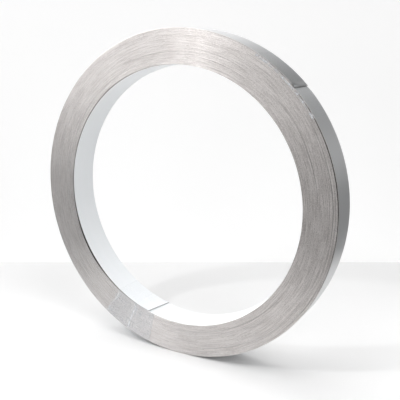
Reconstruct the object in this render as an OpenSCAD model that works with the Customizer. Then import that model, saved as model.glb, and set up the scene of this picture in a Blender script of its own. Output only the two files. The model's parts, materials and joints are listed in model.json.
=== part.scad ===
// Aluminium channel letter coil: one long strip wound into a ring, held by clear tape.
// The coil stands on its rim. Its axis runs along Y, and the origin is under its middle.

/* [Strip] */
// Width of the strip
strip_w = 50; // [20:1:150]
// Thickness of the strip with its coating
strip_t = 0.7; // [0.4:0.05:1.5]

/* [Winding] */
// Diameter of the open centre
bore_d = 405; // [200:1:600]
// Number of turns wound on each other
turns = 70; // [10:1:120]
// Air left between one turn and the next
turn_gap = 0.05; // [0.02:0.01:0.2]
// How far the turns stray sideways, from the furthest one way to the furthest the other
stray = 0.6; // [0.1:0.05:2]

/* [Binding tape] */
// Width of each of the two clear tapes, measured round the rim
binding_w = 48; // [20:1:80]
// Where the two tapes meet, in degrees anticlockwise from the right
binding_angle = 246.5; // [200:0.5:255]

/* [Tail tape] */
// Length of the clear tape over the strip's outer end, measured round the rim
tail_tape_l = 122; // [60:1:250]
// Where the middle of that tape is, in degrees anticlockwise from the right
tail_tape_angle = 46; // [30:0.5:120]
// How far that tape folds down over each end of the coil
tail_tape_fold = 5; // [2:0.5:20]

/* [Film] */
// Thickness of the tape, two layers of film
film_t = 0.1; // [0.05:0.01:0.3]

/* [Hidden] */
$fn = 180;

turn_pitch = strip_t + turn_gap;
bore_r = bore_d / 2;
rim_r = bore_r + turns * turn_pitch;
coil_w = strip_w + stray;
stray_places = 5;

// The sideways place of a turn, stepping through a few places so that no two neighbours are level
function turn_stray(turn) = stray * ((turn * 3 % stray_places) / (stray_places - 1) - 0.5);

// The angle that a length takes up when it is measured round the rim
function rim_angle(length) = length / rim_r * 180 / PI;

// Both ends of one turn's edge, as points of the section: radius, then place along the axis
function edge_of(turn, side) =
    let (z = side * strip_w / 2 + turn_stray(turn), r = bore_r + turn * turn_pitch)
    [[r, z], [r + turn_pitch, z]];

// Stands what is drawn round Z up on its rim, with the drawing's +Z end facing -Y
module stand_on_rim() {
    translate([0, 0, rim_r]) rotate([90, 0, 0]) children();
}

// Turns a section round the axis over part of the circle
module sweep_over(start, angle) {
    rotate([0, 0, start]) rotate_extrude(angle = angle) children();
}

// Section of the whole winding, with the edge of every turn as a step on both ends
module winding_section() {
    last = turns - 1;
    polygon(concat(
        [for (turn = [0 : last]) each edge_of(turn, -1)],
        [for (back = [0 : last]) let (edge = edge_of(last - back, 1)) each [edge[1], edge[0]]]
    ));
}

// Section of the winding's plain outline, grown all round
module outline_section(grow) {
    translate([bore_r - grow, -coil_w / 2 - grow])
        square([rim_r - bore_r + 2 * grow, coil_w + 2 * grow]);
}

// The strip, wound up into one ring
module strip_coil() {
    color("#B9B7B4") stand_on_rim() rotate_extrude() winding_section();
}

// One clear tape, wrapped round the ring through its open centre
module binding_tape(start) {
    color("#E4EAEC", 0.4) stand_on_rim() sweep_over(start, rim_angle(binding_w)) difference() {
        outline_section(film_t);
        outline_section(0);
    }
}

// The tape nearer the coil's lowest point
module binding_tape_lower() {
    binding_tape(binding_angle);
}

// The tape beside it, further up the ring
module binding_tape_upper() {
    binding_tape(binding_angle - rim_angle(binding_w));
}

// The clear tape along the rim that holds the strip's outer end down, folded over both ends
module tail_tape() {
    angle = rim_angle(tail_tape_l);
    inner_r = rim_r - tail_tape_fold;
    color("#E4EAEC", 0.4) stand_on_rim() sweep_over(tail_tape_angle - angle / 2, angle) difference() {
        translate([inner_r, -coil_w / 2 - film_t])
            square([tail_tape_fold + film_t, coil_w + 2 * film_t]);
        outline_section(0);
    }
}

strip_coil();
binding_tape_lower();
binding_tape_upper();
tail_tape();
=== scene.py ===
"""Looks of an aluminium channel letter coil.

A long strip of coated aluminium is wound into a thin open ring that stands on its rim, held by clear tape.
Everything is in metres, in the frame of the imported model: the coil's axis runs along Y, Z is up, and the
origin is on the floor under the middle of the coil. Angles round the coil are anticlockwise from +X, as
seen from the front, which faces -Y.
"""

import json
import logging
import math
from collections.abc import Callable
from dataclasses import dataclass
from enum import Enum

import bpy
import numpy as np
from bpy.types import Material, MeshEdge, MeshPolygon, NodeSocket, NodeTree, Object
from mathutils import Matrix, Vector, noise


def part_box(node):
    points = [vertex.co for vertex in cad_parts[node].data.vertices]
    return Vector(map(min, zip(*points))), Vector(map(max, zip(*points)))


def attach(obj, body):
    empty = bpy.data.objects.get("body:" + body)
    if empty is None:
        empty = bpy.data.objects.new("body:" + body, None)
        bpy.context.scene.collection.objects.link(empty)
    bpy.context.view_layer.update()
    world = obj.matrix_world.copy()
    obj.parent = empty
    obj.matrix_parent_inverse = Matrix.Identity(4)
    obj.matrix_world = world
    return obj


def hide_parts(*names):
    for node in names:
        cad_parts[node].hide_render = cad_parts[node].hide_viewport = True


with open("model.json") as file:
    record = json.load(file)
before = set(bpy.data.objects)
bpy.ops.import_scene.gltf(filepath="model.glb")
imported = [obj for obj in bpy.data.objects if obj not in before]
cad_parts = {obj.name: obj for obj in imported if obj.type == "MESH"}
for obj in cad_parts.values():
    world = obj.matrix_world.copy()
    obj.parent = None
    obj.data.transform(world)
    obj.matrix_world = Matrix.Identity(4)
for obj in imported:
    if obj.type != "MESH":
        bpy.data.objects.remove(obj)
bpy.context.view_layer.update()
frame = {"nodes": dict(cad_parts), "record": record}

MM = 0.001
BODY = "root"
CREASE = "crease"  # the attribute that says how creased and milky a film is, and where glints are painted on the tail tape's folds
PAINTED_SHADE = "painted_shade"  # the attribute that says how much shade is painted on the strip
PAINTED_SHADE_COLOUR = "#1C1B1B"  # painted shade: near black
MERGE = 0.01 * MM  # vertices nearer than this are one
FLAT = 0.9  # how much of a face's normal lies along an axis that the face is square to
Colour = tuple[float, float, float, float]
log = logging.getLogger("coil")


class StripSide(Enum):
    """The sides of the strip, in the order of its material slots."""

    OUTER = 0
    INNER = 1
    EDGE = 2


# ---- materials


def srgb(code: str) -> Colour:
    """Turns an sRGB hex colour into a linear one, by the standard sRGB curve.

    Args:
        code: The colour, such as "#C8CACC".

    Returns:
        Linear red, green and blue, and an alpha of 1.
    """
    parts = [int(code[i : i + 2], 16) / 255 for i in (1, 3, 5)]
    linear = [c / 12.92 if c <= 0.04045 else ((c + 0.055) / 1.055) ** 2.4 for c in parts]
    return (*linear, 1.0)


def add_node(tree: NodeTree, kind: str, inputs: dict | None = None, **settings) -> bpy.types.Node:
    """Adds a node with its settings, input values and links.

    Args:
        tree: The node tree that it goes in.
        kind: The node's type name, without its "ShaderNode".
        inputs: Each input's name or number, with a value, or an output socket to link from.
        settings: The node's own settings by name.

    Returns:
        The new node.
    """
    node = tree.nodes.new("ShaderNode" + kind)
    for name, value in settings.items():
        setattr(node, name, value)
    for name, value in (inputs or {}).items():
        if isinstance(value, NodeSocket):
            tree.links.new(value, node.inputs[name])
        else:
            node.inputs[name].default_value = value
    return node


def work_out(
    tree: NodeTree, operation: str, *values: NodeSocket | tuple | float, kind: str = "Math", result: int = 0
) -> NodeSocket:
    """Works out a number or a vector.

    Args:
        tree: The node tree.
        operation: What it does.
        values: What it is done to, in order.
        kind: The node's kind: Math, or VectorMath where any value is a vector.
        result: Which output is wanted. VectorMath gives a number in output 1.

    Returns:
        The result.
    """
    return add_node(tree, kind, dict(enumerate(values)), operation=operation).outputs[result]


def mixed(tree: NodeTree, share: NodeSocket, first: NodeSocket | Colour, second: Colour) -> NodeSocket:
    """Mixes two colours, which are inputs 6 and 7 and output 2 of a Mix node.

    Args:
        tree: The node tree that it goes in.
        share: How much of the second colour there is, 0 to 1.
        first: The first colour.
        second: The second colour.

    Returns:
        The mixed colour.
    """
    return add_node(tree, "Mix", {0: share, 6: first, 7: second}, data_type="RGBA").outputs[2]


def with_painted_shade(tree: NodeTree, unshaded: NodeSocket) -> NodeSocket:
    """Paints shade on a colour, as much as the strip's painted-shade attribute says.

    Args:
        tree: The material's node tree.
        unshaded: The clean colour.

    Returns:
        The colour with the painted shade on it.
    """
    painted_shade = add_node(tree, "Attribute", attribute_name=PAINTED_SHADE)
    return mixed(tree, painted_shade.outputs["Fac"], unshaded, srgb(PAINTED_SHADE_COLOUR))


def new_material(name: str) -> tuple[Material, NodeTree]:
    """Makes an empty material.

    Args:
        name: The material's name.

    Returns:
        The material and its node tree.
    """
    material = bpy.data.materials.new(name)
    material.use_nodes = True
    material.node_tree.nodes.clear()
    return material, material.node_tree


def add_shader(tree: NodeTree, inputs: dict) -> None:
    """Adds a material's principled shader, with these inputs, and its output."""
    shader = add_node(tree, "BsdfPrincipled", inputs)
    add_node(tree, "OutputMaterial", {"Surface": shader.outputs["BSDF"]})


@dataclass(frozen=True)
class Arcs:
    """A streaky pattern drawn out into arcs round the coil, as fine as its turns."""

    wide_mm: float  # how wide a streak is, along the radius
    around: float  # how much the pattern changes in a radian round the coil
    detail: float
    harshness: float

    def noise(self, tree: NodeTree, centre_z: float) -> NodeSocket:
        """Adds the pattern to a material.

        Args:
            tree: The material's node tree.
            centre_z: Height of the coil's axis.

        Returns:
            Noise around 0.5.
        """
        place = add_node(tree, "TexCoord").outputs["Object"]
        moved = add_node(tree, "Mapping", {"Vector": place, "Location": (0, 0, -centre_z)}).outputs["Vector"]
        # leaves out the place along the axis
        flat = work_out(tree, "MULTIPLY", moved, (1, 0, 1), kind="VectorMath")
        way = work_out(tree, "NORMALIZE", flat, kind="VectorMath")
        radius = work_out(tree, "LENGTH", flat, kind="VectorMath", result=1)
        far = work_out(tree, "MULTIPLY", radius, 1 / (self.wide_mm * MM))
        lift = add_node(tree, "CombineXYZ", {"Y": far}).outputs["Vector"]
        drawn = work_out(tree, "MULTIPLY_ADD", way, (self.around,) * 3, lift, kind="VectorMath")
        inputs = {"Vector": drawn, "Scale": 1.0, "Detail": self.detail, "Roughness": self.harshness}
        return add_node(tree, "TexNoise", inputs).outputs["Fac"]


@dataclass(frozen=True)
class Bands:
    """A pattern in bands that run along the strip, side by side across its width."""

    wide_mm: float
    around: float  # how much the bands change along the strip, per metre
    detail: float

    def noise(self, tree: NodeTree, centre_z: float) -> NodeSocket:
        """Adds the pattern to a material.

        Args:
            tree: The material's node tree.
            centre_z: Height of the coil's axis.

        Returns:
            Noise around 0.5.
        """
        inputs = {
            "Vector": add_node(tree, "TexCoord").outputs["Object"],
            "Location": (0, 0, -centre_z * self.around),
            "Scale": (self.around, 1 / (self.wide_mm * MM), self.around),
        }
        place = add_node(tree, "Mapping", inputs).outputs["Vector"]
        inputs = {"Vector": place, "Scale": 1.0, "Detail": self.detail}
        return add_node(tree, "TexNoise", inputs).outputs["Fac"]


@dataclass(frozen=True)
class Relief:
    """A fine uneven relief: the size of its unevenness and its depth in mm, its detail and its strength."""

    size_mm: float
    deep_mm: float
    detail: float
    strength: float

    def normal(self, tree: NodeTree) -> NodeSocket:
        """Adds the relief to a material.

        Args:
            tree: The material's node tree.

        Returns:
            The normal for its shader.
        """
        place = add_node(tree, "TexCoord").outputs["Object"]
        inputs = {"Vector": place, "Scale": 1 / (self.size_mm * MM), "Detail": self.detail}
        height = add_node(tree, "TexNoise", inputs).outputs["Fac"]
        inputs = {"Height": height, "Strength": self.strength, "Distance": self.deep_mm * MM}
        return add_node(tree, "Bump", inputs).outputs["Normal"]


@dataclass(frozen=True)
class SlitEdgeFinish:
    """Bare aluminium sheared by slitting knives: half bright, half torn, and slightly warm in tone."""

    name: str = "slit_aluminium_edge"
    bright: str = "#DDD9D7"
    dull: str = "#B4AFAD"
    roughness: float = 0.43
    # nearly two turns wide: single turns are too fine to show
    streaks: Arcs = Arcs(wide_mm=1.2, around=7.0, detail=3.0, harshness=0.65)
    # the torn metal's grain, drawn about a turn wide for the same reason
    grain: Arcs = Arcs(wide_mm=0.9, around=140.0, detail=2.0, harshness=0.7)
    grain_share: float = 0.5
    dull_below: float = 0.41  # the noise at which the metal is all dull, and at which it is all bright
    bright_above: float = 0.57

    def material(self, centre_z: float) -> Material:
        """Builds the material for the strip's cut edges.

        Args:
            centre_z: Height of the coil's axis.

        Returns:
            The material.
        """
        material, tree = new_material(self.name)
        streaks = self.streaks.noise(tree, centre_z)
        grain = self.grain.noise(tree, centre_z)
        # inputs 2 and 3 and output 0 are a Mix node's numbers
        both = add_node(tree, "Mix", {0: self.grain_share, 2: streaks, 3: grain}, data_type="FLOAT")
        limits = {"From Min": self.dull_below, "From Max": self.bright_above}
        tone = add_node(tree, "MapRange", {"Value": both.outputs[0], **limits}).outputs["Result"]
        colour = mixed(tree, tone, srgb(self.dull), srgb(self.bright))
        add_shader(tree, {"Base Color": colour, "Metallic": 1.0, "Roughness": self.roughness})
        return material


@dataclass(frozen=True)
class BrushedFinish:
    """The strip's outward side: aluminium brushed along its length and lacquered.

    The brush lines spread a reflection across the strip and leave it sharp along it.
    """

    name: str = "brushed_aluminium"
    light: str = "#CDCECF"
    dark: str = "#C2C3C4"
    roughness: float = 0.3
    anisotropy: float = 0.7
    spread_turn: float = 0.25  # in turns from the strip's length, so that reflections spread across it
    # real brush lines are under 0.1 mm wide, too fine to show
    lines: Bands = Bands(wide_mm=1.5, around=3.0, detail=4.0)

    def material(self, centre_z: float) -> Material:
        """Builds the material for the strip's outward side.

        Args:
            centre_z: Height of the coil's axis.

        Returns:
            The material.
        """
        material, tree = new_material(self.name)
        colour = mixed(tree, self.lines.noise(tree, centre_z), srgb(self.dark), srgb(self.light))
        inputs = {
            # with painted shade in the gaps, at the strip's inner end and on the tail
            "Base Color": with_painted_shade(tree, colour),
            "Metallic": 1.0,
            "Roughness": self.roughness,
            "Anisotropic": self.anisotropy,
            "Anisotropic Rotation": self.spread_turn,
            "Tangent": add_node(tree, "Tangent", direction_type="RADIAL", axis="Y").outputs["Tangent"],
        }
        add_shader(tree, inputs)
        return material


@dataclass(frozen=True)
class WhiteCoatFinish:
    """The strip's inward side: white polyester paint, baked on a roller line, smooth with a soft gloss."""

    name: str = "white_baked_paint"
    colour: str = "#F3F5F7"
    shade: str = "#EFF2F4"
    roughness_low: float = 0.27
    roughness_high: float = 0.36
    ior: float = 1.5
    peel: Relief = Relief(size_mm=2.5, deep_mm=0.02, detail=1.0, strength=0.2)  # a faint orange peel
    bands: Bands = Bands(wide_mm=9.0, around=1.5, detail=2.0)  # left by the coating roller

    def material(self, centre_z: float) -> Material:
        """Builds the material for the strip's inward side.

        Args:
            centre_z: Height of the coil's axis.

        Returns:
            The material.
        """
        material, tree = new_material(self.name)
        bands = self.bands.noise(tree, centre_z)
        colour = mixed(tree, bands, srgb(self.shade), srgb(self.colour))
        limits = {"To Min": self.roughness_low, "To Max": self.roughness_high}
        inputs = {
            # with painted shade in the gaps and at the inner end
            "Base Color": with_painted_shade(tree, colour),
            "Roughness": add_node(tree, "MapRange", {"Value": bands, **limits}).outputs["Result"],
            "IOR": self.ior,
            "Normal": self.peel.normal(tree),
        }
        add_shader(tree, inputs)
        return material


@dataclass(frozen=True)
class ClearFilmFinish:
    """Clear polypropylene packing tape: glossy, and milky where it is creased or lies double."""

    name: str = "clear_polypropylene_film"
    colour: str = "#E6EBF1"
    crease_colour: str = "#F6F7F8"
    haze: float = 0.02  # how much of the light smooth film stops
    crease_haze: float = 0.9
    roughness: float = 0.3
    ior: float = 1.49
    crinkles: Relief = Relief(size_mm=6.0, deep_mm=0.2, detail=3.0, strength=0.3)
    speck_mm: float = 2.2  # a crease breaks up into milky specks of about this size
    speck_detail: float = 2.0
    clear_below: float = 0.4  # the noise below which a crease is at its clearest
    milky_above: float = 0.66
    clearest: float = 0.4  # how much of a crease's haze is left there

    def material(self) -> Material:
        """Builds the material for a tape, which reads its piece's CREASE attribute.

        Returns:
            The material.
        """
        material, tree = new_material(self.name)
        place = add_node(tree, "TexCoord").outputs["Object"]
        inputs = {"Vector": place, "Scale": 1 / (self.speck_mm * MM), "Detail": self.speck_detail}
        specks = add_node(tree, "TexNoise", inputs).outputs["Fac"]
        limits = {"From Min": self.clear_below, "From Max": self.milky_above, "To Min": self.clearest}
        broken = add_node(tree, "MapRange", {"Value": specks, **limits}).outputs["Result"]
        crease = add_node(tree, "Attribute", attribute_name=CREASE).outputs["Fac"]
        milky = work_out(tree, "MULTIPLY", crease, broken)
        limits = {"To Min": self.haze, "To Max": self.crease_haze}
        inputs = {
            "Base Color": mixed(tree, milky, srgb(self.colour), srgb(self.crease_colour)),
            "Roughness": self.roughness,
            "IOR": self.ior,
            "Alpha": add_node(tree, "MapRange", {"Value": milky, **limits}).outputs["Result"],
            "Normal": self.crinkles.normal(tree),
        }
        add_shader(tree, inputs)
        return material


# ---- modelling helpers


class Element(Enum):
    """What an edit-mode selection is made of."""

    EDGE = "EDGE"
    FACE = "FACE"


def choose(piece: Object, kind: Element, test: Callable[[MeshEdge | MeshPolygon], bool]) -> None:
    """Goes into edit mode with only some edges or faces selected.

    Args:
        piece: The active piece, in object mode.
        kind: Edges or faces.
        test: Says of one edge or face whether it is selected.
    """
    bpy.ops.object.mode_set(mode="EDIT")
    bpy.ops.mesh.select_mode(type=kind.value)
    bpy.ops.mesh.select_all(action="DESELECT")
    bpy.ops.object.mode_set(mode="OBJECT")
    for element in piece.data.edges if kind is Element.EDGE else piece.data.polygons:
        element.select = test(element)
    bpy.ops.object.mode_set(mode="EDIT")


def leave_edit() -> None:
    """Goes back to object mode."""
    bpy.ops.object.mode_set(mode="OBJECT")


def ends(piece: Object, edge: MeshEdge) -> tuple[Vector, Vector]:
    """The places of an edge's two vertices."""
    first, second = edge.vertices
    return piece.data.vertices[first].co, piece.data.vertices[second].co


def start_piece(name: str) -> Object:
    """Names the primitive that was just added, and applies its place to its mesh.

    Args:
        name: The piece's name.

    Returns:
        The piece.
    """
    piece = bpy.context.object
    piece.name = name
    piece.data.name = name
    bpy.ops.object.transform_apply(location=True, rotation=True, scale=True)
    return piece


def add_sheet(
    name: str, sides: tuple[float, float], middle: Vector, turn: tuple[float, float, float] = (0, 0, 0)
) -> Object:
    """Adds a flat rectangle.

    Args:
        name: The piece's name.
        sides: Its size along X and along Y before it is turned.
        middle: Where its middle is.
        turn: How it is turned about X, Y and Z.

    Returns:
        The rectangle.
    """
    bpy.ops.object.select_all(action="DESELECT")
    bpy.ops.mesh.primitive_plane_add(size=1, location=middle, rotation=turn)
    bpy.context.object.scale = (*sides, 1)
    return start_piece(name)


def corners(piece: Object) -> np.ndarray:
    """The places of a mesh's vertices.

    Args:
        piece: The piece.

    Returns:
        One row a vertex.
    """
    flat = np.empty(len(piece.data.vertices) * 3)
    piece.data.vertices.foreach_get("co", flat)
    return flat.reshape(-1, 3)


def move_corners(piece: Object, places: np.ndarray) -> None:
    """Moves a mesh's vertices to new places, one row each."""
    piece.data.vertices.foreach_set("co", places.astype(np.float32).ravel())
    piece.data.update()


def smooth_noise(count: int, spacing: int, seed: int) -> np.ndarray:
    """Smooth random values along a line.

    Args:
        count: How many values.
        spacing: How many values lie between two random points.
        seed: The random seed.

    Returns:
        Values around 0, mostly within 1 of it.
    """
    spare = 4  # random points past the last value
    knots = np.random.default_rng(seed).normal(0, 1, count // spacing + spare)
    place = np.arange(count) / spacing
    whole = place.astype(int)
    share = eased(place - whole)
    return knots[whole] * (1 - share) + knots[whole + 1] * share


def eased(share: np.ndarray) -> np.ndarray:
    """A smooth step: a share from 0 to 1, levelled off at both ends."""
    return share * share * (3 - 2 * share)


def bump(angle: np.ndarray, middle: float, spread: float) -> np.ndarray:
    """A soft bump round the coil: 1 at its middle, and near 0 from twice its spread on. Angles in degrees."""
    off = (angle - middle + 180) % 360 - 180
    return np.exp(-((off / spread) ** 2))


# ---- the coil


@dataclass(frozen=True)
class CoilSizes:
    """The coil's sizes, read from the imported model."""

    bore_r: float
    rim_r: float
    width: float
    centre_z: float

    @classmethod
    def from_frame(cls) -> "CoilSizes":
        """Reads the sizes from the model's nodes and mounts.

        Returns:
            The sizes.
        """
        low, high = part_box("strip_coil")
        bore = next(mount for mount in frame["record"]["mounts"] if mount["name"] == "bore")
        return cls(
            bore_r=bore["dims"]["r_mm"] * MM,
            rim_r=(high.z - low.z) / 2,
            width=high.y - low.y,
            centre_z=(high.z + low.z) / 2,
        )

    def place(self, radius: np.ndarray, degrees: np.ndarray, along: np.ndarray) -> np.ndarray:
        """Points at a radius and angle round the axis, and a distance along it."""
        turn = np.radians(degrees)
        return np.stack([radius * np.cos(turn), along, self.centre_z + radius * np.sin(turn)], axis=1)


@dataclass
class WoundStrip:
    """The strip, wound clockwise from its inner end out to its tail."""

    coil: CoilSizes
    width: float = 50 * MM
    thickness: float = 0.7 * MM
    rollover: float = 0.24 * MM  # how far the slitting knife rounds the outward side's corners
    burr: float = 0.08 * MM  # the inward side's corners are left nearly square
    whole_turns: int = 69
    stations: int = 160  # cross-sections to a turn
    tail_stations: int = 95  # past the last whole turn
    start_at: float = -102.9  # where the row of stations starts
    stub: float = 0.2  # degrees of strip left before the second station, so that the inner end is cut short
    skew: float = 2.3  # degrees that the inner end's cut is out of square
    skew_stations: int = 8
    stray: float = 0.12 * MM  # how far the turns stray sideways
    stray_most: float = 2.0  # the furthest, as so many times that
    stray_stations: int = 45
    stray_seed: int = 11
    tail_ramp: int = 50  # stations over which the last turn climbs from under the tail to the full radius
    end_lift: float = 0.4 * MM  # how far the inner end springs off the next turn
    end_stations: int = 2  # how long that part is
    # the open crescent beside the innermost turn: how wide in mm, at what angle, and how far round
    crescent: tuple[tuple[float, float, float], ...] = (
        (2.5, -149.0, 19.0), (0.45, -122.0, 14.0), (0.5, 172.0, 26.0), (0.95, 128.0, 26.0)
    )
    crescent_least_mm: float = 0.03
    # the slack under the outermost turn, in the same way
    slack: tuple[float, float, float] = (1.15, 20.0, 36.0)
    slack_least_mm: float = 0.05
    # the painted shade in a gap is at its darkest from this width on
    crescent_shade_full: float = 0.4 * MM
    slack_shade_full: float = 0.3 * MM
    tail_shade: float = 0.44  # how dark the shade painted on the tail's end is, and over how many degrees that fades
    tail_shade_long: float = 9.5
    shade_in: int = 6  # stations over which the painted shade starts past the inner end, and stops short of the tail
    shade_out: int = 3
    # the gaps between the other turns: their least share of the spare room, and how it wanders
    gap_least: float = 0.25
    gap_stations: int = 9
    gap_seed: int = 3
    # turns that lie a little open: which one, how much wider its gap is, at what angle, and how far round
    loose_turns: tuple[tuple[int, float, float, float], ...] = (
        (6, 14.0, -150.0, 30.0),
        (11, 26.0, 150.0, 32.0),
        (17, 18.0, 168.0, 40.0),
        (24, 9.0, 105.0, 30.0),
        (15, 9.0, -60.0, 40.0),
        (53, 10.0, -5.0, 30.0),
        (59, 18.0, 8.0, 30.0),
        (64, 12.0, -20.0, 35.0),
    )

    @property
    def step(self) -> float:
        """Degrees from one station to the next."""
        return 360 / self.stations

    @property
    def links(self) -> int:
        """Links from the inner end to the tail."""
        return self.whole_turns * self.stations + self.tail_stations

    @property
    def inner_end_at(self) -> float:
        """The angle at which the inner end is cut."""
        return (self.start_at - self.step + self.stub) % 360

    @property
    def tail_at(self) -> float:
        """The angle at which the tail ends."""
        return (self.start_at - self.step * self.tail_stations) % 360

    def inner_gap(self, degrees: np.ndarray) -> np.ndarray:
        """The width of the open crescent between the innermost turn and the next one."""
        wide = sum(deep * bump(degrees, middle, spread) for deep, middle, spread in self.crescent)
        return (wide + self.crescent_least_mm) * MM

    def outer_gap(self, degrees: np.ndarray) -> np.ndarray:
        """The width of the slack under the outermost turn."""
        deep, middle, spread = self.slack
        return (self.slack_least_mm + deep * bump(degrees, middle, spread)) * MM

    def painted_shade(self) -> tuple[np.ndarray, np.ndarray]:
        """Where shade is painted on the strip: in the gaps by the first and the last turn, on the last
        stretch of the tail, and on the inner end's cut.

        Returns:
            The painted shade on the strip's inward side and on its outward side at each station, 0 to 1.
        """
        station = np.arange(self.links + 1)
        degrees = self.start_at - self.step * station
        # painted shade in the open crescent and in the slack under the outermost turn, darker as the gap
        # widens
        crescent = np.clip(self.inner_gap(degrees) / self.crescent_shade_full, 0, 1)
        slack = np.clip(self.outer_gap(degrees) / self.slack_shade_full, 0, 1)
        turn = station // self.stations
        last = station > self.links - self.stations
        before = (station > self.links - 2 * self.stations) & ~last
        to_tail = (self.links - station) * self.step
        # painted shade that darkens the tail's last stretch towards its end
        tail_shade = self.tail_shade * np.exp(-((to_tail / self.tail_shade_long) ** 3))
        after_end = np.clip((station - self.stations) / self.shade_in, 0, 1)
        before_tail = np.clip((self.links - self.stations - station) / self.shade_out, 0, 1)
        inward = np.where(turn == 1, crescent * after_end, np.where(last, slack, 0))
        outward = np.where(turn == 0, crescent, np.where(before, slack * before_tail, tail_shade))
        # the inner end's cut is painted black, as a painted shadow line across the bore
        inward[0] = outward[0] = 1
        return inward, outward

    def radii(self) -> np.ndarray:
        """The radius of the strip's inward side at each station.

        Returns:
            One radius a station, from the inner end to the tail.
        """
        count, around = self.links + 1, self.stations
        rows = self.whole_turns + 1
        column = np.arange(around)
        degrees = self.start_at - self.step * column
        pitch = (self.coil.rim_r - self.coil.bore_r) / rows
        first = self.coil.bore_r + pitch * column / around
        last_row = np.where(column <= self.tail_stations, rows - 1, rows - 2)
        climb = eased(np.clip((column - self.tail_stations) / self.tail_ramp, 0, 1))
        sunk = np.where(column <= self.tail_stations, 0, pitch * (1 - climb))
        top = self.coil.rim_r - self.thickness - sunk
        wander = smooth_noise(rows * around, self.gap_stations, self.gap_seed).reshape(rows, around)
        share = self.gap_least + np.abs(wander) ** 2
        for loose, widest, middle, spread in self.loose_turns:
            share[loose] += widest * bump(degrees, middle, spread)
        row = np.arange(rows)[:, None]
        share[(row < 2) | (row >= last_row)] = 0
        inner, outer = self.inner_gap(degrees), self.outer_gap(degrees)
        spare = top - first - last_row * self.thickness - inner - outer
        gaps = share / share.sum(axis=0) * spare
        gaps[1] = inner
        gaps[last_row, column] = outer
        radii = (first + row * self.thickness + np.cumsum(gaps, axis=0)).ravel()[:count]
        lift = np.clip(1 - (np.arange(count) - 1) / self.end_stations, 0, 1) ** 2
        return radii - self.end_lift * lift

    def flat_link(self) -> Object:
        """One short link of flat strip, open at its two ends.

        Returns:
            The link: length along X, width along Y, and thickness up from the coated side.
        """
        bpy.ops.mesh.primitive_cube_add(size=1, location=(0.5, 0, self.thickness / 2))
        link = bpy.context.object
        link.scale = (1, self.width, self.thickness)
        link = start_piece("wound_strip")
        bpy.ops.object.shade_smooth()

        def lengthwise(edge: MeshEdge) -> bool:
            """Says whether an edge runs along the strip."""
            start, end = ends(link, edge)
            return abs(start.x - end.x) > 0.5

        def outward(edge: MeshEdge) -> bool:
            """Says whether a lengthwise edge is on the strip's outward half."""
            return lengthwise(edge) and ends(link, edge)[0].z > self.thickness / 2

        def inward(edge: MeshEdge) -> bool:
            """Says whether a lengthwise edge is on the strip's inward half."""
            return lengthwise(edge) and not outward(edge)

        def stays_sharp(edge: MeshEdge) -> bool:
            """Says whether an edge is beside a flat side, or beside a burr."""
            start = ends(link, edge)[0]
            return lengthwise(edge) and (abs(start.y) < self.width / 2 - self.burr / 2 or inward(edge))

        choose(link, Element.EDGE, outward)
        bpy.ops.mesh.bevel(offset=self.rollover, segments=1, affect="EDGES")
        leave_edit()
        choose(link, Element.EDGE, inward)
        bpy.ops.mesh.bevel(offset=self.burr, segments=1, affect="EDGES")
        leave_edit()
        choose(link, Element.FACE, lambda face: abs(face.normal.x) > FLAT)
        bpy.ops.mesh.delete(type="ONLY_FACE")
        leave_edit()
        for face in link.data.polygons:
            side = StripSide.EDGE if abs(face.normal.z) < FLAT else StripSide.OUTER
            face.material_index = (StripSide.INNER if face.normal.z < -FLAT else side).value
        choose(link, Element.EDGE, stays_sharp)
        bpy.ops.mesh.mark_sharp()
        leave_edit()
        return link

    def build(self, dress: list[Material]) -> Object:
        """Makes the flat strip from links and winds it up.

        Args:
            dress: The materials of the strip's sides, in StripSide's order.

        Returns:
            The wound strip.
        """
        bpy.ops.object.select_all(action="DESELECT")
        strip = self.flat_link()
        for material in dress:
            strip.data.materials.append(material)
        row = strip.modifiers.new("links", "ARRAY")
        row.count = self.links
        row.use_merge_vertices = True
        row.merge_threshold = MERGE
        bpy.ops.object.modifier_apply(modifier=row.name)
        choose(strip, Element.EDGE, lambda edge: False)
        bpy.ops.mesh.select_non_manifold()
        bpy.ops.mesh.fill_holes(sides=0)
        leave_edit()
        self.wind(strip)
        return strip

    def wind(self, strip: Object) -> None:
        """Winds the flat strip up: each cross-section goes to its station on the coil.

        Args:
            strip: The flat strip, a metre of X to a link.
        """
        flat = corners(strip)
        station = np.rint(flat[:, 0]).astype(int)
        across, thick = flat[:, 1], flat[:, 2]
        wander = smooth_noise(self.links + 1, self.stray_stations, self.stray_seed)
        stray = np.clip(wander, -self.stray_most, self.stray_most) * self.stray
        fade = np.clip(1 - (station - 1) / self.skew_stations, 0, 1)
        degrees = self.start_at - self.step * np.maximum(station, 1) + self.stub * (station == 0)
        degrees = degrees + self.skew * across / self.width * fade
        radius = self.radii()[station] + thick
        move_corners(strip, self.coil.place(radius, degrees, across + stray[station]))
        # paints the shade on to the strip, as an attribute that darkens its materials' colours
        inward, outward = self.painted_shade()
        painted_dark = np.where(thick > self.thickness / 2, outward[station], inward[station])
        layer = strip.data.attributes.new(PAINTED_SHADE, "FLOAT", "POINT")
        layer.data.foreach_set("value", painted_dark.astype(np.float32))


@dataclass(frozen=True)
class Spots:
    """Places round the coil: radii, angles in degrees, and places along the axis, one value a vertex."""

    radius: np.ndarray
    degrees: np.ndarray
    along: np.ndarray


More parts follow.
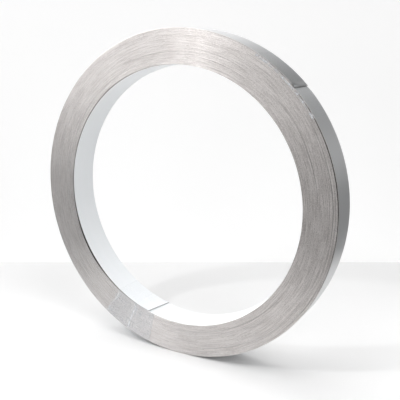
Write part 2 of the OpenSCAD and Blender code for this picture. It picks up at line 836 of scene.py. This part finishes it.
@dataclass
class FilmTape:
    """A length of clear film stuck round part of the ring, spun from its section."""

    coil: CoilSizes
    node: str  # the model's node that it stands for
    name: str
    layer: float  # how far its outer face stands off the strip
    film: float = 0.05 * MM
    rounding: float = 0.5 * MM
    rounding_cuts: int = 3
    steps: int = 36  # round the coil
    cell: float = 1.5 * MM  # about how far apart its vertices are across that
    lap: float = 0.0  # how far it runs on over the tape beside it
    inset: float = 0.12 * MM  # how far the strip's furthest edges lie inside the model's film
    smooth_below: float = 40.0  # a corner sharper than this many degrees stays sharp

    def span(self) -> tuple[float, float]:
        """Where the tape lies, read from the model's node.

        Returns:
            The angles at which it starts and ends.
        """
        places = corners(frame["nodes"][self.node])
        turn = np.degrees(np.arctan2(places[:, 2] - self.coil.centre_z, places[:, 0])) % 360
        return float(turn.min()), float(turn.max()) + math.degrees(self.lap / self.coil.rim_r)

    def flat_section(self, inner: float, outer: float) -> Object:
        """Adds a rectangle at angle 0, between two radii and as wide as the film reaches along the axis.

        Args:
            inner: The radius where it starts.
            outer: The radius where it ends.

        Returns:
            The rectangle.
        """
        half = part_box(self.node)[1].y - self.inset + self.layer
        middle = Vector(((inner + outer) / 2, 0, self.coil.centre_z))
        return add_sheet(self.name, (outer - inner, 2 * half), middle)

    def section(self) -> Object:
        """Makes the film's section as a line of edges at angle 0."""
        raise NotImplementedError

    def crumple(self, at: Spots) -> tuple[np.ndarray, np.ndarray]:
        """How the film creases.

        Args:
            at: Where its vertices are.

        Returns:
            How far each vertex sinks into the film's back, and how creased it is, 0 to 1.
        """
        raise NotImplementedError

    def round_and_cut(self, piece: Object) -> None:
        """Rounds the section's corners and cuts its long edges into cells.

        Args:
            piece: The section.
        """
        bpy.ops.object.mode_set(mode="EDIT")
        bpy.ops.mesh.select_mode(type="VERT")
        bpy.ops.mesh.select_all(action="SELECT")
        bpy.ops.mesh.bevel(offset=self.rounding, segments=self.rounding_cuts, affect="VERTICES")
        leave_edit()

        def length(edge: MeshEdge) -> float:
            """The length of an edge."""
            start, end = ends(piece, edge)
            return (start - end).length

        def is_long(edge: MeshEdge) -> bool:
            """Says whether an edge is longer than two cells."""
            return length(edge) > 2 * self.cell

        longest = max(length(edge) for edge in piece.data.edges)
        while longest > 2 * self.cell:
            choose(piece, Element.EDGE, is_long)
            bpy.ops.mesh.subdivide(number_cuts=1)
            leave_edit()
            longest /= 2

    def spin(self, piece: Object) -> None:
        """Spins the section from the tape's start to its end, and turns its faces outwards.

        Args:
            piece: The section.
        """
        start, end = self.span()
        centre = (0, 0, self.coil.centre_z)
        bpy.ops.object.mode_set(mode="EDIT")
        bpy.ops.mesh.select_all(action="SELECT")
        bpy.ops.transform.rotate(value=math.radians(start), orient_axis="Y", center_override=centre)
        bpy.ops.mesh.spin(steps=self.steps, angle=math.radians(end - start), center=centre, axis=(0, 1, 0))
        bpy.ops.mesh.select_all(action="SELECT")
        bpy.ops.mesh.remove_doubles(threshold=MERGE)
        bpy.ops.mesh.normals_make_consistent(inside=False)
        leave_edit()
        radius, degrees = (self.coil.bore_r + self.coil.rim_r) / 2, (start + end) / 2
        middle = Vector(self.coil.place(np.array([radius]), np.array([degrees]), np.zeros(1))[0])
        outward = sum((face.center - middle).dot(face.normal) * face.area for face in piece.data.polygons)
        if outward < 0:
            choose(piece, Element.FACE, lambda face: True)
            bpy.ops.mesh.flip_normals()
            leave_edit()

    def build(self, dress: Material) -> Object:
        """Makes the film, creases it, and gives it its thickness.

        Args:
            dress: The film's material.

        Returns:
            The tape.
        """
        piece = self.section()
        self.spin(piece)
        places = corners(piece)
        turn = np.degrees(np.arctan2(places[:, 2] - self.coil.centre_z, places[:, 0])) % 360
        log.info("%s runs from %.1f to %.1f degrees", self.name, turn.min(), turn.max())
        radius = np.hypot(places[:, 0], places[:, 2] - self.coil.centre_z)
        sink, crease = self.crumple(Spots(radius, turn, places[:, 1]))
        normals = np.array([vertex.normal for vertex in piece.data.vertices])
        move_corners(piece, places - normals * sink[:, None])
        layer = piece.data.attributes.new(CREASE, "FLOAT", "POINT")
        layer.data.foreach_set("value", crease.astype(np.float32))
        piece.data.materials.append(dress)
        wall = piece.modifiers.new("film", "SOLIDIFY")
        wall.thickness = self.film
        wall.offset = -1
        bpy.ops.object.modifier_apply(modifier=wall.name)
        bpy.ops.object.shade_smooth_by_angle(angle=math.radians(self.smooth_below))
        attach(piece, BODY)
        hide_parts(self.node)
        return piece


def crumpled(places: np.ndarray) -> np.ndarray:
    """Noise from -1 to 1 at each place, one row of three coordinates each."""
    return np.array([noise.noise(Vector(place)) for place in places])


@dataclass
class BindingTape(FilmTape):
    """Tape wrapped right round the ring's section, through its open centre."""

    wrinkle: float = 0.05 * MM  # how deep the wrinkles are, how wide round the rim, and how long on a face
    wrinkle_wide: float = 4 * MM
    wrinkle_long: float = 30 * MM
    wrinkle_apart: float = 25 * MM  # the two ends of the coil have wrinkles of their own
    # milky wisps, drawn out like the wrinkles and half as long: how strong and how rare, and their limits
    wisp_places: float = 9.0
    wisp_gain: float = 1.3
    wisp_rarity: float = 0.3
    wisp_least: float = 0.18
    wisp_most: float = 0.6
    lap_milky: float = 1.0
    face_fade: float = 2 * MM  # the wrinkles start over this much of a face
    bore_fade: float = 0.3 * MM
    over_end: float = 0.0  # how far it is held off the bore where it covers the strip's inner end
    over_end_at: float = 0.0  # the angle of that end
    over_end_long: float = 6.0  # degrees that it takes to rise to it
    over_end_early: float = 0.4  # the share of the rise that it is ahead by, so that it clears the end

    def section(self) -> Object:
        """Makes a closed loop round the ring's section.

        Returns:
            The loop.
        """
        outer = self.coil.rim_r + self.layer
        piece = self.flat_section(self.coil.bore_r - self.layer, outer)
        choose(piece, Element.FACE, lambda face: True)
        bpy.ops.mesh.delete(type="ONLY_FACE")
        leave_edit()
        self.round_and_cut(piece)
        return piece

    def crumple(self, at: Spots) -> tuple[np.ndarray, np.ndarray]:
        """Long shallow wrinkles along the tape's pull, and a milky line where it laps over its neighbour.

        Args:
            at: Where its vertices are.

        Returns:
            How far each vertex sinks into the film's back, and how creased it is, 0 to 1.
        """
        start, end = self.span()
        wide = np.radians(at.degrees - start) * self.coil.rim_r / self.wrinkle_wide
        deep, side = at.radius / self.wrinkle_long, at.along / self.wrinkle_apart
        pull = crumpled(np.stack([wide, deep, side], axis=1))
        wisps = crumpled(np.stack([wide + self.wisp_places, deep * 2, side], axis=1))
        crease = np.clip(wisps * self.wisp_gain - self.wisp_rarity, self.wisp_least, self.wisp_most)
        if self.lap > 0:
            doubled = np.radians(end - at.degrees) * self.coil.rim_r < self.lap
            crease = np.where(doubled, self.lap_milky, crease)
        off_bore = at.radius - self.coil.bore_r
        on_face = np.clip(off_bore / self.face_fade, 0, 1)
        on_bore = np.clip(1 - (off_bore + self.layer) / self.bore_fade, 0, 1)
        before_end = (self.over_end_at - at.degrees) % 360
        rise = np.where(before_end < 180, 1 - before_end / self.over_end_long, 1)
        lifted = self.over_end * on_bore * np.clip(rise + self.over_end_early, 0, 1)
        return self.wrinkle * on_face * (0.5 + 0.5 * pull) - lifted, crease * on_face


@dataclass
class TailTape(FilmTape):
    """Tape along the rim over the strip's tail, with its two long edges folded on to the faces."""

    fold: float = 5 * MM
    fold_from: float = 0.6 * MM  # how far inside the rim the folded edge starts
    pleat_wide: float = 4.5 * MM
    pleat_deep: float = 0.1 * MM
    pleats_apart: float = 3.0  # the two folded edges have pleats of their own
    # specks on the folded edge, partly milky creases and partly painted glints off the pleats: how much finer
    # than the pleats, and how strong and how common
    speck_finer: float = 1.7
    speck_places: float = 5.0
    speck_gain: float = 2.4
    speck_common: float = 0.35
    speck_from: float = 0.25  # the share of the fold at which they start, and how sharply
    speck_start: float = 5.0
    tail_at: float = 0.0  # the angle of the strip's tail
    step_deep: float = 0.75 * MM
    bridge: float = 1.2  # degrees that the film takes to come down off the tail

    def section(self) -> Object:
        """Makes a line that runs down one face, across the rim and up the other face.

        Returns:
            The line.
        """
        outer = self.coil.rim_r + self.layer
        piece = self.flat_section(outer - self.fold, outer)

        def innermost(edge: MeshEdge) -> bool:
            """Says whether an edge is the one nearest the axis."""
            return all(end.x < outer - self.fold / 2 for end in ends(piece, edge))

        choose(piece, Element.EDGE, innermost)
        bpy.ops.mesh.delete(type="EDGE")
        leave_edit()
        self.round_and_cut(piece)
        return piece

    def crumple(self, at: Spots) -> tuple[np.ndarray, np.ndarray]:
        """Pleats where the folded edges are gathered into a smaller circle, and a step down off the tail.

        Args:
            at: Where its vertices are.

        Returns:
            How far each vertex sinks into the film's back, and how creased it is, 0 to 1.
        """
        folded = np.clip((self.coil.rim_r - self.fold_from - at.radius) / self.fold, 0, 1)
        wide = np.radians(at.degrees) * self.coil.rim_r / self.pleat_wide
        side = np.sign(at.along) * self.pleats_apart
        ridge = crumpled(np.stack([wide, at.radius / (2 * self.fold), side], axis=1))
        deep = at.radius / self.fold + self.speck_places
        glint_speck = crumpled(np.stack([wide * self.speck_finer, deep, np.zeros(len(wide))], axis=1))
        past = np.clip((self.tail_at - at.degrees) / self.bridge, 0, 1)
        step = np.where(folded > 0, 0, self.step_deep * past)
        # white specks on the folds: partly milky creases, partly painted glints off the pleats
        on_fold = np.clip((folded - self.speck_from) * self.speck_start, 0, 1)
        crease = on_fold * np.clip(glint_speck * self.speck_gain + self.speck_common, 0, 1)
        return step + self.pleat_deep * np.clip(folded * 2, 0, 1) * (0.5 + 0.5 * ridge), crease


# ---- studio


def direction(azimuth: float, elevation: float) -> Vector:
    """A direction of length 1, from degrees anticlockwise from +X and degrees up from level."""
    turn, rise = math.radians(azimuth), math.radians(elevation)
    return Vector((math.cos(turn) * math.cos(rise), math.sin(turn) * math.cos(rise), math.sin(rise)))


@dataclass(frozen=True)
class SoftBox:
    """A soft round light far off: where it is and how wide, in degrees, and how strong."""

    azimuth: float
    elevation: float
    spread: float
    strength: float

    @property
    def sharpness(self) -> float:
        """How fast the light fades from its middle: it is at 61% a spread away."""
        return 0.5 / (1 - math.cos(math.radians(self.spread)))


@dataclass
class Studio:
    """White paper on a grey floor, a white board behind, a near lamp, soft lights and the camera."""

    coil: CoilSizes
    azimuth: float = 29.35
    elevation: float = 13.40
    lens: float = 56.3
    nearest: float = 0.01  # where the camera's view starts
    # the camera's place from the middle of the front end, in rim radii
    stand: tuple[float, float, float] = (1.9149, -3.1177, 0.8696)
    ambient: float = 0.20
    lights: tuple[SoftBox, ...] = (
        SoftBox(-140, 8, 9, 4.85),
        SoftBox(-100, 8, 9, 2.8),
        SoftBox(-157.5, 28, 9, 1.97),
        SoftBox(-120, 68, 9, 4.9),
        SoftBox(-30, 48, 9, 5.2),
        SoftBox(40, 8, 9, 1.6),
        SoftBox(60, 48, 9, 1.78),
        SoftBox(80, 8, 9, 0.52),
        SoftBox(112.5, 28, 9, 1.24),
        SoftBox(157.5, 28, 12.5, 9.7),
        SoftBox(-180, 48, 9, 3.51),
        SoftBox(120, 68, 9, 3.2),
    )
    floor_size: float = 28.0
    paper_white: str = "#ECECEC"
    floor_grey: str = "#868686"
    # the paper's three near edges: which way each one faces, in degrees, and how far out it is, in metres
    edges: tuple[tuple[float, float], ...] = ((11.3, 0.44), (-60.4, 0.33), (-135.0, 0.37))
    edge_fade: float = 0.12
    board_behind: float = 0.425
    board_left: float = -0.9
    board_right: float = 0.52
    board_tall: float = 0.63
    board_white: str = "#A8A8A8"
    board_shine: float = 0.66
    key_azimuth: float = -119.0
    key_elevation: float = 44.5
    key_far: float = 1.5
    key_wide: float = 0.07
    key_watts: float = 4.2

    def camera(self) -> None:
        """Makes the camera."""
        back = direction(self.azimuth - 90, self.elevation)
        camera = bpy.data.objects.new("camera", bpy.data.cameras.new("camera"))
        front = Vector((0, -self.coil.width / 2, self.coil.centre_z))
        camera.location = front + Vector(self.stand) * self.coil.rim_r
        camera.rotation_euler = back.to_track_quat("Z", "Y").to_euler()
        camera.data.lens = self.lens
        camera.data.clip_start = self.nearest
        bpy.context.scene.collection.objects.link(camera)
        bpy.context.scene.camera = camera

    def sky(self) -> None:
        """Sets the world's light: a low even level, and the soft boxes."""
        world = bpy.data.worlds.new("studio")
        world.use_nodes = True
        tree = world.node_tree
        ray = add_node(tree, "TexCoord").outputs["Generated"]
        level = self.ambient
        for box in self.lights:
            way = tuple(direction(box.azimuth, box.elevation))
            facing = work_out(tree, "DOT_PRODUCT", ray, way, kind="VectorMath", result=1)
            fade = work_out(tree, "MULTIPLY_ADD", facing, box.sharpness, -box.sharpness)
            level = work_out(tree, "MULTIPLY_ADD", work_out(tree, "EXPONENT", fade), box.strength, level)
        tree.links.new(level, tree.nodes["Background"].inputs["Strength"])
        tree.nodes["Background"].inputs["Color"].default_value = (1, 1, 1, 1)
        bpy.context.scene.world = world

    def floor(self) -> None:
        """Lays the floor, white where the paper is and grey beyond its edges."""
        sheet = add_sheet("floor", (self.floor_size, self.floor_size), Vector())
        material, tree = new_material("paper_on_grey_floor")
        place = add_node(tree, "TexCoord").outputs["Object"]
        on_paper = 1.0
        for facing, reach in self.edges:
            way = tuple(direction(facing, 0))
            out = work_out(tree, "DOT_PRODUCT", place, way, kind="VectorMath", result=1)
            limits = {"From Min": reach + self.edge_fade / 2, "From Max": reach - self.edge_fade / 2}
            inside = add_node(tree, "MapRange", {"Value": out, **limits}, interpolation_type="SMOOTHSTEP")
            on_paper = work_out(tree, "MULTIPLY", on_paper, inside.outputs["Result"])
        colour = mixed(tree, on_paper, srgb(self.floor_grey), srgb(self.paper_white))
        paint = add_node(tree, "BsdfDiffuse", {"Color": colour})
        add_node(tree, "OutputMaterial", {"Surface": paint.outputs["BSDF"]})
        sheet.data.materials.append(material)

    def board(self) -> None:
        """Stands the white board, which glows a little, behind the coil and square to the camera's view."""
        along, away = direction(self.azimuth, 0), direction(self.azimuth + 90, 0)
        middle = along * (self.board_left + self.board_right) / 2 + away * self.board_behind
        middle.z = self.board_tall / 2
        sides = (self.board_right - self.board_left, self.board_tall)
        sheet = add_sheet("board", sides, middle, (math.radians(90), 0, math.radians(self.azimuth)))
        material, tree = new_material("white_board")
        paint = add_node(tree, "BsdfDiffuse", {"Color": srgb(self.board_white)})
        shine = add_node(tree, "Emission", {"Color": (1, 1, 1, 1), "Strength": self.board_shine})
        both = add_node(tree, "AddShader", {0: paint.outputs["BSDF"], 1: shine.outputs["Emission"]})
        # clear from behind, so that it hides nothing when the coil is looked at from the back
        side = add_node(tree, "NewGeometry")
        clear = add_node(tree, "BsdfTransparent")
        seen = add_node(
            tree,
            "MixShader",
            {0: side.outputs["Backfacing"], 1: both.outputs["Shader"], 2: clear.outputs["BSDF"]},
        )
        add_node(tree, "OutputMaterial", {"Surface": seen.outputs["Shader"]})
        sheet.data.materials.append(material)

    def key_lamp(self) -> None:
        """Hangs the small near lamp that throws the coil's shadow."""
        lamp = bpy.data.lights.new("key", "AREA")
        lamp.shape = "DISK"
        lamp.size = self.key_wide
        lamp.energy = self.key_watts
        holder = bpy.data.objects.new("key", lamp)
        way = direction(self.key_azimuth, self.key_elevation)
        holder.location = Vector((0, 0, self.coil.centre_z)) + way * self.key_far
        holder.rotation_euler = way.to_track_quat("Z", "Y").to_euler()
        bpy.context.scene.collection.objects.link(holder)


def main() -> None:
    """Builds the coil, its tapes and the studio, in order."""
    logging.basicConfig(level=logging.INFO, format="%(name)s: %(message)s")
    bpy.context.scene.view_settings.view_transform = "Standard"
    coil = CoilSizes.from_frame()
    studio = Studio(coil)
    studio.camera()
    winding = WoundStrip(coil)
    strip = winding.build(
        [finish.material(coil.centre_z) for finish in (BrushedFinish(), WhiteCoatFinish(), SlitEdgeFinish())]
    )
    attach(strip, BODY)
    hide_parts("strip_coil")
    film = ClearFilmFinish().material()
    tapes = [
        BindingTape(
            coil,
            "binding_tape_lower",
            "film_wrap_lower",
            layer=0.03 * MM,
            over_end=winding.end_lift,
            over_end_at=winding.inner_end_at,
        ),
        BindingTape(coil, "binding_tape_upper", "film_wrap_upper", layer=0.11 * MM, lap=2.5 * MM),
        TailTape(coil, "tail_tape", "film_over_tail", layer=0.1 * MM, tail_at=winding.tail_at),
    ]
    for piece in [strip] + [tape.build(film) for tape in tapes]:
        log.info("%s: %d faces", piece.name, len(piece.data.polygons))
    studio.floor()
    studio.board()
    studio.key_lamp()
    studio.sky()


if __name__ == "__main__":
    main()
